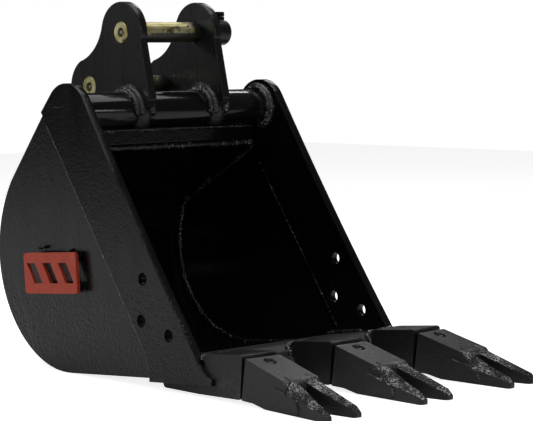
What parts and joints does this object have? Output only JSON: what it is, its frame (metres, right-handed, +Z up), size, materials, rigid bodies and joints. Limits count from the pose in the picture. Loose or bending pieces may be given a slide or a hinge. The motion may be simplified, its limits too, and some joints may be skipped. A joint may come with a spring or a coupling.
{
  "type": "excavator bucket",
  "caption": "Welded digging bucket with tapered rolled bowl, torque tube, hanger ears with cross pins and cast twin-point teeth on the lip.",
  "frame": {"origin": "on the axis of the dipper pin, half way between the two ears", "axes": "+X to the bucket's right side along the pins, +Y to the back, teeth towards -Y, +Z up with the bucket standing on its heel"},
  "size_m": [0.4758, 0.8257, 0.6155],
  "materials": {
    "black_paint": "satin gloss black enamel over weld scale",
    "black_casting": "black painted steel casting",
    "worn_casting": "rough grey-black casting",
    "zinc_pin": "yellow zinc plated, patchy",
    "nipple_steel": "zinc plated",
    "bright_steel": "bare steel",
    "badge_paint": "red-orange enamel"
  },
  "bodies": {
    "bucket": {"badge_plate": "badge_paint", "badge_standoffs": "black_paint", "box_back_plate": "black_paint", "cutting_edge": "black_paint", "dipper_pin_boss": "black_paint", "hanger_ear_left": "black_paint", "hanger_ear_right": "black_paint", "inner_head_plate": "black_paint", "link_pin_boss": "black_paint", "side_plate_left": "black_paint", "side_plate_right": "black_paint", "side_strip_left": "black_paint", "side_strip_right": "black_paint", "throat_plate": "black_paint", "tooth_adapter_centre": "black_casting", "tooth_adapter_left": "black_casting", "tooth_adapter_right": "black_casting", "tooth_centre": "worn_casting", "tooth_left": "worn_casting", "tooth_right": "worn_casting", "torque_tube": "black_paint", "wrapper_plate": "black_paint"},
    "dipper_pin_body": {"dipper_pin": "zinc_pin", "dipper_grease_nipple": "nipple_steel"},
    "link_pin_body": {"link_pin": "zinc_pin", "link_grease_nipple": "nipple_steel"},
    "dipper_lock_body": {"dipper_lock_bolt": "black_paint", "dipper_jam_nut": "black_paint", "dipper_washer": "bright_steel"},
    "link_lock_body": {"link_lock_bolt": "black_paint", "link_jam_nut": "black_paint", "link_washer": "bright_steel"},
    "tooth_lock_body_left": {"tooth_lock_pin_left": "black_paint"},
    "tooth_lock_body_centre": {"tooth_lock_pin_centre": "black_paint"},
    "tooth_lock_body_right": {"tooth_lock_pin_right": "black_paint"}
  },
  "joints": [
    {"name": "dipper_pin_slide", "type": "slide", "parent": "bucket", "child": "dipper_pin_body", "axis": [-1, 0, 0], "range_m": [0, 0.24]},
    {"name": "link_pin_slide", "type": "slide", "parent": "bucket", "child": "link_pin_body", "axis": [-1, 0, 0], "range_m": [0, 0.24]},
    {"name": "dipper_lock_bolt_slide", "type": "slide", "parent": "bucket", "child": "dipper_lock_body", "axis": [0, 0, 1], "range_m": [0, 0.03]},
    {"name": "link_lock_bolt_slide", "type": "slide", "parent": "bucket", "child": "link_lock_body", "axis": [0, 0, 1], "range_m": [0, 0.03]},
    {"name": "tooth_lock_pin_slide_left", "type": "slide", "parent": "bucket", "child": "tooth_lock_body_left", "axis": [0.0133, 0.1903, 0.9816], "range_m": [0, 0.065]},
    {"name": "tooth_lock_pin_slide_centre", "type": "slide", "parent": "bucket", "child": "tooth_lock_body_centre", "axis": [0, 0.1908, 0.9816], "range_m": [0, 0.065]},
    {"name": "tooth_lock_pin_slide_right", "type": "slide", "parent": "bucket", "child": "tooth_lock_body_right", "axis": [-0.0133, 0.1903, 0.9816], "range_m": [0, 0.065]}
  ]
}
